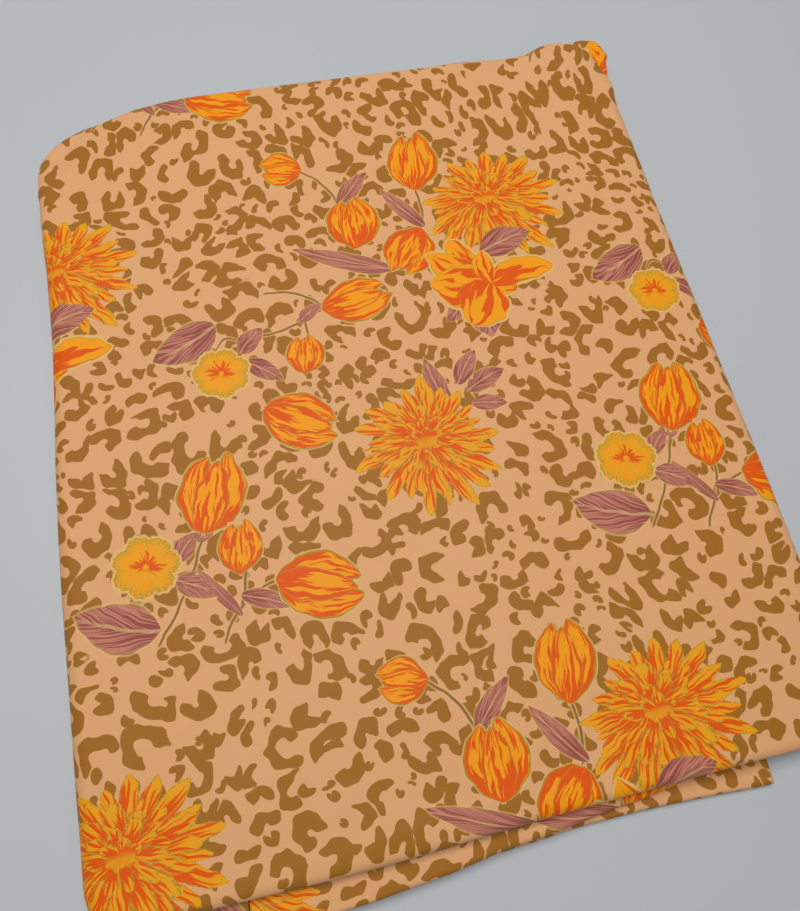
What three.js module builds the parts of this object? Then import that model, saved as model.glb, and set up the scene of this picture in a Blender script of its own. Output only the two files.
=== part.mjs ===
// Printed silk fabric, folded in half along its length and put up as a flat pack.
// Millimetres. The pack lies on its underside: +X runs along its near edge, +Y away from it, +Z up.
import * as THREE from "three";

const { degToRad, lerp, smoothstep } = THREE.MathUtils;

// The cloth
const WALL = 1.6; // each stretch, drawn thicker than silk so that it is a solid
const SEAM = 0.5; // between one stretch and the next
const SILK = 0xdfa982;
const SILK_IN_SHADE = 0xb98556;

// The pack from above: edges measured from its middle
const RIGHT = 238;
const LEFT = -233; // halfway along
const LEFT_FLARE = 3.2; // the left edge stands further out by this at the near end, and in at the far
const FAR = 289;
const FAR_PULL = { out: 8, from: 120, to: 225 }; // the far right corner is pulled out, growing along X
const CREASE = -271.5; // where the top stretch turns under at the near edge
const BOW = { out: 2.5, x: -90, wide: 95, from: 250, to: 268 }; // the crease bulges left of the middle
const CORNER = { nearLeft: 16, nearRight: 26, farLeft: 34, farRight: 40 };

const MIDDLE = { x: 6.1, y: 4.1 }; // of the box round every piece, which is the part's origin

// The pack from the side
const CROWN = 26; // top of the pack, in its middle
const SIDE_FALL = 2.6; // how far the top falls towards the left and right edges
const END_FALL = 2.0; // and towards the near and far edges
const NEAR_HEM = 13.8; // height of the top stretch where it has turned under
const FAR_HEM = 11.4;
const TUCK_HEM = 17.6; // over the tuck
const HEM_BACK = 8; // cloth lying flat inside the turn
const SIDE_REACH = 11; // how far each roll stands out past its shoulder
const NEAR_REACH = 7;
const FAR_REACH = 9;
const WRAP_TURN = 150; // degrees of the side rolls that the top stretch covers
const UNDER_TURN = 156; // where the underside takes over
const FOLD_TURN = 180;
const TURNED = { from: 0.1, to: 0.8 }; // part of Y in an edge's direction, from a side to an end
const FAR_TURNED = { from: -186, to: -155 }; // along X: left of it the strip still wraps down

// Soft hills and hollows of the top: middle, height and half-width along X and Y
const SWELLS = [
  { x: -232, y: 286, height: -15, wide: 72, deep: 66 },
  { x: -238, y: -268, height: -2.5, wide: 60, deep: 60 },
  { x: 236, y: -268, height: -3, wide: 55, deep: 60 },
  { x: 216, y: 288, height: 6, wide: 46, deep: 34 },
  { x: 150, y: 266, height: -2.2, wide: 44, deep: 13 },
  { x: 60, y: 120, height: -1.1, wide: 90, deep: 60 },
  { x: -90, y: -190, height: 0.9, wide: 80, deep: 55 },
];

// What lies between the top stretch and the table
const FOLD_BACK = -253; // the folds at the near edge reach in to here
const FAR_FOLD_BACK = 268.5;
const BACK_SETTING = 14; // how far the hidden layers stay behind a shoulder where folds show
const BACK_EARLY = 4; // they draw back this many times as fast as the folded edge grows
const LAYERS = 5; // hidden layers, seen as ridges at their edges
const RIDGE = 1.4; // depth of one ridge
const CORE_INSET = 5; // from the side rolls to the hidden layers
const TUCK_CENTRE = { x: 205, y: 250 }; // the tuck reaches in towards here
const TUCK_ROUND = { inside: 50, outside: 68 }; // distance from the corner over which the tuck ends

// Folds: the nose of each, and its lowest and highest point
const SECOND_FOLD = [
  { x: -146, nose: -288.8, low: 6.7, high: 12.6 },
  { x: -120, nose: -290.6, low: 6.6, high: 13.0 },
  { x: -84, nose: -289.8, low: 6.6, high: 13.2 },
  { x: -40, nose: -286.8, low: 6.6, high: 13.2 },
  { x: 10, nose: -282.6, low: 6.6, high: 13.2 },
  { x: 56, nose: -279.2, low: 6.6, high: 13.1 },
  { x: 100, nose: -275.2, low: 6.7, high: 13.0 },
  { x: 136, nose: -271.0, low: 6.8, high: 12.8 },
  { x: 168, nose: -267.0, low: 6.9, high: 12.2 },
];
const BOTTOM_FOLD = [
  { x: -212, nose: -263.0, low: 0, high: 5.6 },
  { x: -170, nose: -270.0, low: 0, high: 6.0 },
  { x: -120, nose: -279.0, low: 0, high: 6.1 },
  { x: -60, nose: -285.0, low: 0, high: 6.1 },
  { x: 0, nose: -285.6, low: 0, high: 6.1 },
  { x: 60, nose: -283.8, low: 0, high: 6.1 },
  { x: 120, nose: -285.4, low: 0, high: 6.1 },
  { x: 173, nose: -289.2, low: 0, high: 6.1 },
];
const INNER_FOLD = [
  { x: -202, nose: -266.0, low: 6.4, high: 12.4 },
  { x: -184, nose: -271.5, low: 6.6, high: 12.8 },
  { x: -166, nose: -276.0, low: 6.7, high: 13.0 },
  { x: -146.6, nose: -279.0, low: 6.8, high: 13.0 },
];
const FAR_UPPER_FOLD = [
  { x: -142, nose: 282.5, low: 5.7, high: 10.6 },
  { x: -100, nose: 285.0, low: 5.6, high: 10.9 },
  { x: -20, nose: 284.5, low: 5.6, high: 10.9 },
  { x: 90, nose: 283.5, low: 5.6, high: 10.9 },
  { x: 186, nose: 283.0, low: 5.7, high: 10.6 },
];
const FAR_LOWER_FOLD = [
  { x: -140, nose: 280.0, low: 0, high: 5.0 },
  { x: -60, nose: 282.5, low: 0, high: 5.1 },
  { x: 60, nose: 281.0, low: 0, high: 5.1 },
  { x: 186, nose: 282.0, low: 0, high: 5.0 },
];
// The inner layer that shows round the far right corner, from the far edge to its tip and past it
const CORNER_TUCK = [
  { x: 200, y: 280.6, low: 7.4, high: 14.0, depth: 10 },
  { x: 210, y: 285.4, low: 7.4, high: 15.6, depth: 16 },
  { x: 222, y: 290.6, low: 7.2, high: 16.8, depth: 22 },
  { x: 233, y: 293.0, low: 7.0, high: 17.0, depth: 24 },
  { x: 240, y: 291.5, low: 7.0, high: 17.0, depth: 24 },
  { x: 244.5, y: 286.0, low: 7.0, high: 17.0, depth: 24 },
  { x: 246.4, y: 278.5, low: 7.0, high: 17.0, depth: 24 },
  { x: 248, y: 274.4, low: 7.1, high: 16.8, depth: 24 },
  { x: 245, y: 268.0, low: 7.2, high: 16.6, depth: 22 },
  { x: 243, y: 259.5, low: 7.4, high: 16.2, depth: 18 },
  { x: 240.8, y: 249.0, low: 7.7, high: 15.4, depth: 13 },
  { x: 238.4, y: 242.6, low: 7.9, high: 14.9, depth: 9 },
];

// How finely a piece is divided
const INNER_CELLS = 10;
const MARGIN_CELLS = 3;
const ROLL_LOOPS = 8;
const CORE_LOOPS = 2 * LAYERS * 2;
const NOSE_STEPS = 6;

// Columns and rows of the top: "inner" crosses the middle, "out" grows from 0 to 1 over the margin.
function divisions() {
  const list = [];
  for (let i = MARGIN_CELLS; i > 0; i -= 1) list.push({ inner: -1, out: i / MARGIN_CELLS });
  for (let i = 0; i <= INNER_CELLS; i += 1) list.push({ inner: -1 + (2 * i) / INNER_CELLS, out: 0 });
  for (let i = 1; i <= MARGIN_CELLS; i += 1) list.push({ inner: 1, out: i / MARGIN_CELLS });
  return list;
}

function topHeight(x, y) {
  const side = SIDE_FALL * (x / RIGHT) ** 4;
  const end = END_FALL * (y / FAR) ** 4;
  let height = CROWN - side - end;
  for (const s of SWELLS) {
    height += s.height * Math.exp(-(((x - s.x) / s.wide) ** 2) - ((y - s.y) / s.deep) ** 2);
  }
  return height;
}

// The pack isn't quite a rectangle.
function skewed(x, y) {
  const left = x < 0 ? (LEFT_FLARE * (y / FAR) * x) / LEFT : 0;
  const pull = FAR_PULL.out * smoothstep(x, FAR_PULL.from, FAR_PULL.to) * smoothstep(y, FAR / 2, FAR);
  const bow = BOW.out * Math.exp(-(((x - BOW.x) / BOW.wide) ** 2)) * smoothstep(-y, BOW.from, BOW.to);
  return { x: x + left, y: y + pull - bow };
}

// 1 round the far right corner, where an inner layer shows.
function tuckShare(x, y) {
  return 1 - smoothstep(Math.hypot(RIGHT - x, FAR - y), TUCK_ROUND.inside, TUCK_ROUND.outside);
}

// 0 where the strip wraps round a side down to the table, 1 where its folded edge shows instead.
function foldedShare(along, x, y) {
  const near = smoothstep(-along.y, TURNED.from, TURNED.to);
  const far = smoothstep(along.y, TURNED.from, TURNED.to);
  const farRight = far * smoothstep(x, FAR_TURNED.from, FAR_TURNED.to);
  return Math.max(near, farRight, tuckShare(x, y));
}

// A place in the margin: its inner corner, its direction outwards, and how the edge there is made.
function marginAt(column, row) {
  const u = (column.inner + 1) / 2;
  const v = (row.inner + 1) / 2;
  const nearRadius = lerp(CORNER.nearLeft, CORNER.nearRight, u);
  const farRadius = lerp(CORNER.farLeft, CORNER.farRight, u);
  const radius = lerp(nearRadius, farRadius, v);
  const left = LEFT + SIDE_REACH + radius;
  const right = RIGHT - SIDE_REACH - radius;
  const near = CREASE + NEAR_REACH + radius;
  const far = FAR - FAR_REACH - radius;
  const base = { x: lerp(left, right, u), y: lerp(near, far, v) };
  const along = new THREE.Vector2(column.inner * column.out, row.inner * row.out).normalize();
  const share = foldedShare(along, base.x + along.x * radius, base.y + along.y * radius);
  return { base, along, radius, share, out: Math.max(column.out, row.out) };
}

function placed(margin, distance, z) {
  const x = margin.base.x + margin.along.x * distance;
  const y = margin.base.y + margin.along.y * distance;
  const p = skewed(x, y);
  return new THREE.Vector3(p.x, p.y, z);
}

// The roll at an edge, from its shoulder over the side and under. Lengths follow the cloth.
function rollOf(margin) {
  const shoulder = placed(margin, margin.radius, 0);
  const top = topHeight(shoulder.x, shoulder.y);
  const nearSide = margin.along.y < 0;
  const reach = lerp(SIDE_REACH, nearSide ? NEAR_REACH : FAR_REACH, margin.along.y ** 2);
  const farHem = lerp(FAR_HEM, TUCK_HEM, tuckShare(shoulder.x, shoulder.y));
  const low = margin.share * (nearSide ? NEAR_HEM : farHem);
  return { top, reach, low, half: (top - low) / 2 };
}

function onRoll(margin, roll, degrees, z = 0) {
  const turn = degToRad(degrees);
  const height = roll.top - roll.half * (1 - Math.cos(turn)) + z;
  return placed(margin, margin.radius + roll.reach * Math.sin(turn), height);
}

// Grid of points, and the order in which its outer points go round.
function gridSheet(columns, rows, pointAt) {
  const points = [];
  const faces = [];
  const index = (i, j) => j * columns.length + i;
  rows.forEach((row) => columns.forEach((column) => points.push(pointAt(column, row))));
  for (let j = 0; j + 1 < rows.length; j += 1) {
    for (let i = 0; i + 1 < columns.length; i += 1) {
      const corners = [index(i, j), index(i + 1, j), index(i + 1, j + 1), index(i, j + 1)];
      faces.push([corners[0], corners[1], corners[2]], [corners[0], corners[2], corners[3]]);
    }
  }
  const last = { i: columns.length - 1, j: rows.length - 1 };
  const round = [];
  for (let i = 0; i < last.i; i += 1) round.push({ column: columns[i], row: rows[0], at: index(i, 0) });
  for (let j = 0; j < last.j; j += 1) {
    round.push({ column: columns[last.i], row: rows[j], at: index(last.i, j) });
  }
  for (let i = last.i; i > 0; i -= 1) {
    round.push({ column: columns[i], row: rows[last.j], at: index(i, last.j) });
  }
  for (let j = last.j; j > 0; j -= 1) round.push({ column: columns[0], row: rows[j], at: index(0, j) });
  return { points, faces, round };
}

// Adds a closed loop of points round a sheet, joined to the loop before it.
function addLoop(sheet, before, pointsOfLoop) {
  const start = sheet.points.length;
  sheet.points.push(...pointsOfLoop);
  const loop = pointsOfLoop.map((_, k) => start + k);
  joinLoops(sheet, before, loop);
  return loop;
}

function joinLoops(sheet, inside, outside) {
  inside.forEach((a, k) => {
    const next = (k + 1) % inside.length;
    sheet.faces.push([a, outside[k], outside[next]], [a, outside[next], inside[next]]);
  });
}

function geometryOf(points, faces) {
  const geometry = new THREE.BufferGeometry();
  geometry.setFromPoints(points);
  geometry.setIndex(faces.flat());
  geometry.computeVertexNormals();
  return geometry;
}

// Closes a sheet into a wall: its points are the outside, and the inside lies WALL behind them.
function wallOf(sheet, rim) {
  const outer = geometryOf(sheet.points, sheet.faces);
  const normals = outer.getAttribute("normal");
  const count = sheet.points.length;
  const inner = sheet.points.map((p, k) => {
    const n = new THREE.Vector3().fromBufferAttribute(normals, k);
    return p.clone().addScaledVector(n, -WALL);
  });
  const faces = [...sheet.faces];
  sheet.faces.forEach(([a, b, c]) => faces.push([a + count, c + count, b + count]));
  rim.forEach((a, k) => {
    const b = rim[(k + 1) % rim.length];
    faces.push([a, a + count, b + count], [a, b + count, b]);
  });
  return geometryOf([...sheet.points, ...inner], faces);
}

function topPanel() {
  const lines = divisions();
  const sheet = gridSheet(lines, lines, (column, row) => {
    const margin = marginAt(column, row);
    const p = placed(margin, margin.out * margin.radius, 0);
    return p.setZ(topHeight(p.x, p.y));
  });
  const edges = sheet.round.map(({ column, row }) => {
    const margin = marginAt(column, row);
    return { margin, roll: rollOf(margin) };
  });
  let loop = sheet.round.map((place) => place.at);
  for (let k = 1; k <= ROLL_LOOPS; k += 1) {
    const points = edges.map(({ margin, roll }) => {
      const most = lerp(WRAP_TURN, FOLD_TURN, margin.share);
      const arc = degToRad(most) * ((roll.half + roll.reach) / 2);
      const back = HEM_BACK * margin.share;
      const gone = ((arc + back) * k) / ROLL_LOOPS;
      if (gone <= arc) return onRoll(margin, roll, (most * gone) / arc);
      const p = placed(margin, margin.radius - (gone - arc), 0);
      return p.setZ(roll.low);
    });
    loop = addLoop(sheet, loop, points);
  }
  return wallOf(sheet, loop);
}

// The hidden layers and the underside draw back before the top stretch starts to lift off the table.
function drawnBack(margin) {
  return Math.min(1, BACK_EARLY * margin.share);
}

function setBack(margin) {
  return margin.radius - BACK_SETTING * drawnBack(margin);
}

function underPanel() {
  const lines = divisions();
  const sheet = gridSheet(lines, lines, (column, row) => {
    const margin = marginAt(column, row);
    return placed(margin, margin.out * setBack(margin), 0);
  });
  const before = sheet.round.map((place) => place.at);
  const points = sheet.round.map(({ column, row }) => {
    const margin = marginAt(column, row);
    const roll = rollOf(margin);
    const curled = onRoll(margin, { ...roll, half: roll.top / 2 }, UNDER_TURN);
    const flat = placed(margin, setBack(margin) + WALL, 0);
    return flat.lerp(curled, 1 - drawnBack(margin));
  });
  const loop = addLoop(sheet, before, points);
  const facingDown = sheet.faces.map(([a, b, c]) => [a, c, b]);
  return wallOf({ points: sheet.points, faces: facingDown }, [...loop].reverse());
}

// The hidden layers: one rounded solid under the top, with a ridge for each layer at the folded ends.
function core() {
  const lines = divisions();
  const clear = WALL + SEAM;
  const sheet = gridSheet(lines, lines, (column, row) => {
    const margin = marginAt(column, row);
    const p = placed(margin, margin.out * setBack(margin), 0);
    return p.setZ(topHeight(p.x, p.y) - clear);
  });
  const margins = sheet.round.map(({ column, row }) => marginAt(column, row));
  const reaches = margins.map((margin) => rollOf(margin).reach - CORE_INSET);
  const tops = sheet.round.map((place) => sheet.points[place.at].z);
  let loop = sheet.round.map((place) => place.at);
  for (let k = 1; k < CORE_LOOPS; k += 1) {
    const turn = (Math.PI * k) / CORE_LOOPS;
    const points = margins.map((margin, p) => {
      const rounded = reaches[p] * Math.sin(turn);
      const ridged = RIDGE * Math.abs(Math.sin(turn * LAYERS));
      const back = drawnBack(margin);
      const distance = setBack(margin) + lerp(rounded, ridged, back);
      const fallen = lerp((1 - Math.cos(turn)) / 2, k / CORE_LOOPS, back);
      return placed(margin, distance, lerp(tops[p], clear, fallen));
    });
    loop = addLoop(sheet, loop, points);
  }
  const start = sheet.points.length;
  const under = gridSheet(lines, lines, (column, row) => {
    const margin = marginAt(column, row);
    return placed(margin, margin.out * setBack(margin), clear);
  });
  sheet.points.push(...under.points);
  under.faces.forEach(([a, b, c]) => sheet.faces.push([a + start, c + start, b + start]));
  joinLoops(sheet, loop, under.round.map((place) => place.at + start));
  return geometryOf(sheet.points, sheet.faces);
}

// Section of a doubled edge: distance in from its nose, and height. Out along the bottom, back on top.
function foldSection(depth, low, high) {
  const side = (inset) => {
    const radius = (high - low) / 2 - inset;
    const middle = (high + low) / 2;
    const bend = (high - low) / 2;
    const points = [{ depth, z: low + inset }];
    for (let k = 0; k <= NOSE_STEPS; k += 1) {
      const turn = (Math.PI * k) / NOSE_STEPS;
      points.push({ depth: bend - radius * Math.sin(turn), z: middle - radius * Math.cos(turn) });
    }
    points.push({ depth, z: high - inset });
    return points;
  };
  return [...side(0), ...side(WALL).reverse()];
}

// A doubled edge along a row of stations, each with its nose, the way in from it, and its depth.
function foldOf(stations) {
  const points = [];
  const faces = [];
  let size = 0;
  stations.forEach((s) => {
    const section = foldSection(s.depth, s.low, s.high);
    size = section.length;
    section.forEach(({ depth, z }) => {
      const p = skewed(s.x + s.inward.x * depth, s.y + s.inward.y * depth);
      points.push(new THREE.Vector3(p.x, p.y, z));
    });
  });
  for (let n = 0; n + 1 < stations.length; n += 1) {
    for (let k = 0; k < size; k += 1) {
      const a = n * size + k;
      const b = n * size + ((k + 1) % size);
      faces.push([a, a + size, b + size], [a, b + size, b]);
    }
  }
  const end = foldSection(stations[0].depth, stations[0].low, stations[0].high);
  const outline = end.map(({ depth, z }) => new THREE.Vector2(depth, z));
  const last = (stations.length - 1) * size;
  THREE.ShapeUtils.triangulateShape(outline, []).forEach((triangle) => {
    const clockwise = THREE.ShapeUtils.isClockWise(triangle.map((k) => outline[k]));
    const [a, b, c] = clockwise ? triangle : [...triangle].reverse();
    faces.push([a, b, c], [a + last, c + last, b + last]);
  });
  return geometryOf(points, faces);
}

function facingOut(geometry) {
  const position = geometry.getAttribute("position");
  const index = geometry.getIndex();
  const corner = (k) => new THREE.Vector3().fromBufferAttribute(position, index.getX(k));
  let volume = 0;
  for (let k = 0; k < index.count; k += 3) {
    volume += corner(k).dot(corner(k + 1).cross(corner(k + 2)));
  }
  if (volume > 0) return geometry;
  const turned = [];
  for (let k = 0; k < index.count; k += 3) {
    turned.push(index.getX(k), index.getX(k + 2), index.getX(k + 1));
  }
  geometry.setIndex(turned);
  geometry.computeVertexNormals();
  return geometry;
}

function straightFold(rows, back) {
  const stations = rows.map((row) => ({
    ...row,
    y: row.nose,
    inward: { x: 0, y: Math.sign(back - row.nose) },
    depth: Math.abs(back - row.nose),
  }));
  return facingOut(foldOf(stations));
}

function cornerTuck() {
  const stations = CORNER_TUCK.map((row) => {
    const way = new THREE.Vector2(TUCK_CENTRE.x - row.x, TUCK_CENTRE.y - row.y).normalize();
    return { ...row, inward: way };
  });
  return facingOut(foldOf(stations));
}

const pack = new THREE.Group();
pack.name = "folded_silk";

function add(name, geometry, color) {
  const material = new THREE.MeshStandardMaterial({ color, roughness: 0.45, metalness: 0 });
  const mesh = new THREE.Mesh(geometry, material);
  mesh.name = name;
  pack.add(mesh);
}

add("top_panel", topPanel(), SILK);
add("under_panel", underPanel(), SILK);
add("second_fold", straightFold(SECOND_FOLD, FOLD_BACK), SILK);
add("bottom_fold", straightFold(BOTTOM_FOLD, FOLD_BACK), SILK);
add("inner_fold", straightFold(INNER_FOLD, FOLD_BACK), SILK_IN_SHADE);
add("far_upper_fold", straightFold(FAR_UPPER_FOLD, FAR_FOLD_BACK), SILK);
add("far_lower_fold", straightFold(FAR_LOWER_FOLD, FAR_FOLD_BACK), SILK);
add("corner_tuck", cornerTuck(), SILK_IN_SHADE);
add("hidden_layers", core(), SILK);

pack.position.set(-MIDDLE.x, -MIDDLE.y, 0);

export default pack;
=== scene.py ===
# Printed silk fabric, folded in half along its length and put up as a flat pack on a pale table.
# Sizes are in millimetres, as in the source of the solids; each mesh is made in metres at the end.
import math

import bpy
import numpy as np
from mathutils import Matrix, Vector, noise


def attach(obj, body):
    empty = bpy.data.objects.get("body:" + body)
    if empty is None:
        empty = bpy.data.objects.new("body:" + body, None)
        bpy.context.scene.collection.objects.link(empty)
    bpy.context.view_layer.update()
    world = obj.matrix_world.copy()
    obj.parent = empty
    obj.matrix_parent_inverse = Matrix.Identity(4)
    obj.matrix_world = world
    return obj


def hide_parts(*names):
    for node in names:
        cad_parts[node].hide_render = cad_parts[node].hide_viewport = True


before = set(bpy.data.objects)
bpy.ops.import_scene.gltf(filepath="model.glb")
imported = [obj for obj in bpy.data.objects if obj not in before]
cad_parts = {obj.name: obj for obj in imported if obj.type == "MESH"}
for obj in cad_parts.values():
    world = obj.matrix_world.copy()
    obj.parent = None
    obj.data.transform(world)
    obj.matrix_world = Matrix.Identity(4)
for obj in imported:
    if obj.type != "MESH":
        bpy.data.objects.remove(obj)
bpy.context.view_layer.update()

MM = 0.001

# The pack from above, as in the solids. The dent, the drop and part of the pull are the drawn cloth's own.
RIGHT = 238
LEFT = -233
LEFT_FLARE = 3.2
FAR = 289
FAR_PULL = {"out": 9.5, "from": 155, "to": 232}
LEFT_DENT = {"in": 4.5, "y": 105, "long": 95, "from": 150, "to": 225}
FAR_DROP = {"in": 8.5, "from": 110, "to": 215}
CREASE = -271.5
BOW = {"out": 2.5, "x": -90, "wide": 95, "from": 250, "to": 268}
CORNER = {"near_left": 16, "near_right": 26, "far_left": 34, "far_right": 40}
MIDDLE = (6.1, 4.1)

# The pack from the side, as in the solids
WALL = 1.6
CROWN = 26
SIDE_FALL = 2.6
END_FALL = 2.0
NEAR_HEM = 13.8
FAR_HEM = 11.4
TUCK_HEM = 17.6
HEM_BACK = 8
SIDE_REACH = 11
NEAR_REACH = 7
FAR_REACH = 9
WRAP_TURN = 150
UNDER_TURN = 156
FOLD_TURN = 180
TURNED = (0.1, 0.8)
FAR_TURNED = (-186, -155)
TUCK_ROUND = (50, 68)
BACK_SETTING = 14
BACK_EARLY = 4
CORE_INSET = 5
FOLD_BACK = -253
FAR_FOLD_BACK = 268.5

# Soft hills and hollows of the top: middle, height and half-width along X and Y
SWELLS = [
    {"x": -232, "y": 286, "height": -15, "wide": 72, "deep": 66},
    {"x": -238, "y": -268, "height": -2.5, "wide": 60, "deep": 60},
    {"x": 236, "y": -268, "height": -3, "wide": 55, "deep": 60},
    {"x": 216, "y": 288, "height": 6, "wide": 46, "deep": 34},
    {"x": 150, "y": 266, "height": -2.2, "wide": 44, "deep": 13},
    {"x": 60, "y": 120, "height": -1.1, "wide": 90, "deep": 60},
    {"x": -90, "y": -190, "height": 0.9, "wide": 80, "deep": 55},
]

# Creases of the top: middle, direction in degrees from +X, half-length, half-width, and height or depth
CREASES = [
    {"x": 148, "y": 275, "turn": 4, "long": 52, "wide": 5.0, "height": -2.0},
    {"x": 156, "y": 285, "turn": 5, "long": 50, "wide": 4.5, "height": 2.4},
    {"x": 205, "y": 262, "turn": 118, "long": 17, "wide": 3.4, "height": 1.5},
    {"x": 192, "y": 268, "turn": 110, "long": 14, "wide": 3.2, "height": -1.2},
    {"x": 219, "y": 258, "turn": 126, "long": 15, "wide": 3.4, "height": -1.3},
    {"x": 229, "y": 246, "turn": 100, "long": 22, "wide": 4.0, "height": 0.9},
    {"x": 168, "y": 258, "turn": 160, "long": 26, "wide": 5.0, "height": 0.7},
    {"x": 96, "y": 270, "turn": 6, "long": 34, "wide": 4.5, "height": 0.6},
    {"x": -206, "y": 236, "turn": 52, "long": 30, "wide": 6.5, "height": 0.9},
    {"x": -214, "y": 214, "turn": 62, "long": 26, "wide": 5.5, "height": -0.8},
    {"x": -160, "y": 256, "turn": 18, "long": 38, "wide": 6.0, "height": -0.7},
    {"x": -221, "y": 118, "turn": 84, "long": 60, "wide": 5.0, "height": -0.5},
    {"x": -222, "y": -74, "turn": 93, "long": 74, "wide": 6.0, "height": 0.5},
    {"x": 226, "y": 96, "turn": 92, "long": 66, "wide": 5.5, "height": -0.5},
    {"x": 227, "y": -110, "turn": 88, "long": 80, "wide": 6.5, "height": 0.5},
    {"x": 120, "y": -258, "turn": -2, "long": 60, "wide": 4.5, "height": -0.6},
    {"x": -60, "y": -260, "turn": 1, "long": 84, "wide": 5.0, "height": 0.5},
    {"x": -190, "y": -240, "turn": -40, "long": 24, "wide": 6.5, "height": -0.6},
    {"x": 10, "y": 40, "turn": 72, "long": 130, "wide": 16.0, "height": 0.35},
    {"x": 110, "y": -90, "turn": 100, "long": 120, "wide": 18.0, "height": -0.35},
    {"x": -120, "y": 60, "turn": 20, "long": 90, "wide": 15.0, "height": -0.3},
    {"x": 80, "y": 200, "turn": 150, "long": 80, "wide": 14.0, "height": 0.3},
    {"x": -60, "y": -130, "turn": 165, "long": 110, "wide": 16.0, "height": 0.3},
]

CREASE_BEND = {"by": 2.5, "turns": 1.7}

# Folds: the nose of each, and its lowest and highest point, as in the solids
SECOND_FOLD = [
    {"x": -146, "nose": -288.8, "low": 6.7, "high": 12.6},
    {"x": -120, "nose": -290.6, "low": 6.6, "high": 13.0},
    {"x": -84, "nose": -289.8, "low": 6.6, "high": 13.2},
    {"x": -40, "nose": -286.8, "low": 6.6, "high": 13.2},
    {"x": 10, "nose": -282.6, "low": 6.6, "high": 13.2},
    {"x": 56, "nose": -279.2, "low": 6.6, "high": 13.1},
    {"x": 100, "nose": -275.2, "low": 6.7, "high": 13.0},
    {"x": 136, "nose": -271.0, "low": 6.8, "high": 12.8},
    {"x": 168, "nose": -267.0, "low": 6.9, "high": 12.2},
]
BOTTOM_FOLD = [
    {"x": -212, "nose": -263.0, "low": 0, "high": 5.6},
    {"x": -170, "nose": -270.0, "low": 0, "high": 6.0},
    {"x": -120, "nose": -279.0, "low": 0, "high": 6.1},
    {"x": -60, "nose": -285.0, "low": 0, "high": 6.1},
    {"x": 0, "nose": -285.6, "low": 0, "high": 6.1},
    {"x": 60, "nose": -283.8, "low": 0, "high": 6.1},
    {"x": 120, "nose": -285.4, "low": 0, "high": 6.1},
    {"x": 173, "nose": -289.2, "low": 0, "high": 6.1},
]
INNER_FOLD = [
    {"x": -202, "nose": -266.0, "low": 6.4, "high": 12.4},
    {"x": -184, "nose": -271.5, "low": 6.6, "high": 12.8},
    {"x": -166, "nose": -276.0, "low": 6.7, "high": 13.0},
    {"x": -146.6, "nose": -279.0, "low": 6.8, "high": 13.0},
]
FAR_UPPER_FOLD = [
    {"x": -142, "nose": 282.5, "low": 5.7, "high": 10.6},
    {"x": -100, "nose": 285.0, "low": 5.6, "high": 10.9},
    {"x": -20, "nose": 284.5, "low": 5.6, "high": 10.9},
    {"x": 90, "nose": 283.5, "low": 5.6, "high": 10.9},
    {"x": 186, "nose": 283.0, "low": 5.7, "high": 10.6},
]
FAR_LOWER_FOLD = [
    {"x": -140, "nose": 280.0, "low": 0, "high": 5.0},
    {"x": -60, "nose": 282.5, "low": 0, "high": 5.1},
    {"x": 60, "nose": 281.0, "low": 0, "high": 5.1},
    {"x": 186, "nose": 282.0, "low": 0, "high": 5.0},
]

# The far right corner: how far the top is drawn in, and the tucked layer, nearly as in the solids
CORNER_PULL = {"in": 5, "y": 264, "long": 15, "from": 205, "to": 240}
TUCK_CENTRE = (205, 250)
TUCK_PRINT = (2, 45)  # the place of its first point on the print
CORNER_TUCK = [
    {"x": 200, "y": 284.0, "low": 7.4, "high": 14.0, "depth": 12},
    {"x": 210, "y": 289.4, "low": 7.4, "high": 15.6, "depth": 18},
    {"x": 222, "y": 293.0, "low": 7.2, "high": 16.8, "depth": 23},
    {"x": 233, "y": 293.0, "low": 7.0, "high": 17.0, "depth": 24},
    {"x": 240, "y": 291.5, "low": 7.0, "high": 17.0, "depth": 24},
    {"x": 244.5, "y": 286.0, "low": 7.0, "high": 17.0, "depth": 24},
    {"x": 246.4, "y": 278.5, "low": 7.0, "high": 17.0, "depth": 24},
    {"x": 248, "y": 274.4, "low": 7.1, "high": 16.8, "depth": 24},
    {"x": 245, "y": 268.0, "low": 7.2, "high": 16.6, "depth": 22},
    {"x": 243, "y": 259.5, "low": 7.4, "high": 16.2, "depth": 18},
    {"x": 240.8, "y": 249.0, "low": 7.7, "high": 15.4, "depth": 13},
    {"x": 238.4, "y": 242.6, "low": 7.9, "high": 14.9, "depth": 9},
]

# How finely the cloth is divided
CELLS_ACROSS = 146
CELLS_ALONG = 172
UNDER_CELLS = (96, 112)
BAND_CELLS = (60, 72)
MARGIN_CELLS = 8
ROLL_LOOPS = 25
NOSE_STEPS = 14
FLAT_STEPS = 8
FOLD_STEP = 3.0
TUCK_STEP = 1.5
SHELL = 0.4  # thickness of the cloth as it is drawn
SEAM = 0.5
EDGES = 9  # layers inside that show as edges
EDGE_LOOPS = 72
EDGE_DEPTH = 1.6
EDGE_WAVER = 0.25  # how far a layer's edge wanders up and down, in layers
EDGE_UNEVEN = 0.8
LIP = 6

# Unevenness of the cloth
RIPPLE = 0.35
FOLD_WAVE = 0.8
TUCK_WAVE = 0.4

# The print: repeat, the place of its first dahlia on the pack, and how far it is turned
REPEAT = (320.0, 380.7)
PRINT_AT = (-217.6, 139.6)
PRINT_TURN = math.radians(1.2)
FAR_SLIP = {"least": 12, "most": 26, "x": -60, "near": 50, "off": 170, "from": 190, "to": 288}

TABLE = 4  # half its width, in metres

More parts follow.
